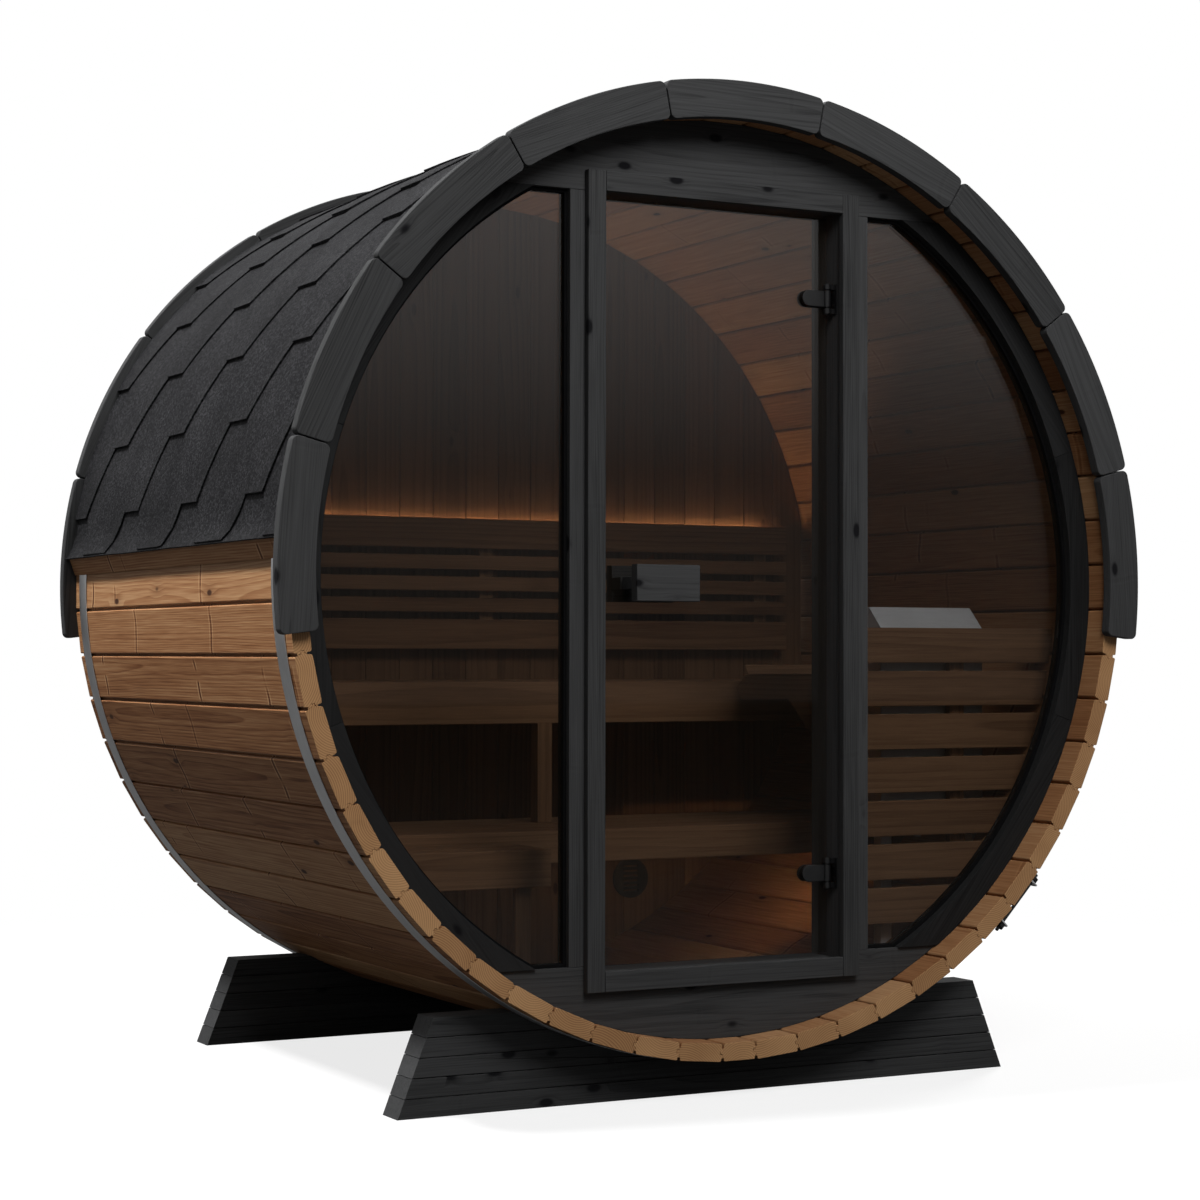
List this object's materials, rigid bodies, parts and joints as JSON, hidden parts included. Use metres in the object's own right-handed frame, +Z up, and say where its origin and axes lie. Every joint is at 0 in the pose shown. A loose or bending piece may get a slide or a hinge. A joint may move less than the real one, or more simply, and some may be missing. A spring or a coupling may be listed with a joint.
{
  "type": "barrel sauna",
  "caption": "Outdoor barrel sauna of tongued staves on two cradles, with a tinted glass front, an outward-swinging glass door, a shingled roof, tiered benches and a guarded heater.",
  "frame": {"origin": "on the ground under the middle of the barrel", "axes": "+X to the right seen from the door end, +Y from the door end to the rear, +Z up"},
  "size_m": [2.094, 1.449, 2.1398],
  "materials": {
    "thermo_wood": "oiled heat-treated softwood",
    "bench_wood": "smooth heat-treated wood",
    "wall_wood": "smooth heat-treated wood",
    "black_wood": "black stain, grain showing",
    "strap_steel": "satin stainless",
    "black_metal": "matt black",
    "heater_steel": "satin sheet",
    "shingle": "mineral granules on bitumen",
    "window_tint": "bronze tint",
    "door_tint": "bronze tint",
    "gasket_rubber": "matt",
    "lamp": "warm lamp strip"
  },
  "bodies": {
    "cabin": {"staves_top": "thermo_wood", "staves_upper_right": "thermo_wood", "staves_lower_right": "thermo_wood", "staves_bottom": "thermo_wood", "staves_lower_left": "thermo_wood", "staves_upper_left": "thermo_wood", "eave_strip_left": "thermo_wood", "eave_strip_right": "thermo_wood", "upper_bench": "bench_wood", "lower_bench": "bench_wood", "step_bench": "bench_wood", "side_seat": "bench_wood", "backrest": "bench_wood", "heater_guard": "bench_wood", "rear_wall": "wall_wood", "fascia_front": "black_wood", "fascia_rear": "black_wood", "front_panel_top": "black_wood", "front_panel_bottom": "black_wood", "front_post_left": "black_wood", "front_post_right": "black_wood", "window_ring_left": "black_wood", "window_ring_right": "black_wood", "door_lining": "black_wood", "door_trim": "black_wood", "cradle_front": "black_wood", "cradle_rear": "black_wood", "strap_front": "strap_steel", "strap_rear": "strap_steel", "strap_tensioners": "black_metal", "hinge_leaf_upper": "black_metal", "hinge_leaf_lower": "black_metal", "rear_vent": "black_metal", "heater": "heater_steel", "roof_left": "shingle", "roof_right": "shingle", "window_glass_left": "window_tint", "window_glass_right": "window_tint", "window_gaskets": "gasket_rubber", "light_strip": "lamp"},
    "door": {"door_glass": "door_tint", "door_handle": "black_wood", "hinge_clamp_upper": "black_metal", "hinge_clamp_lower": "black_metal"}
  },
  "joints": [
    {"name": "door_hinge", "type": "hinge", "parent": "cabin", "child": "door", "pos_m": [0.278, -0.6055, 1.083], "axis": [0, 0, 1], "range_deg": [0, 100]}
  ]
}
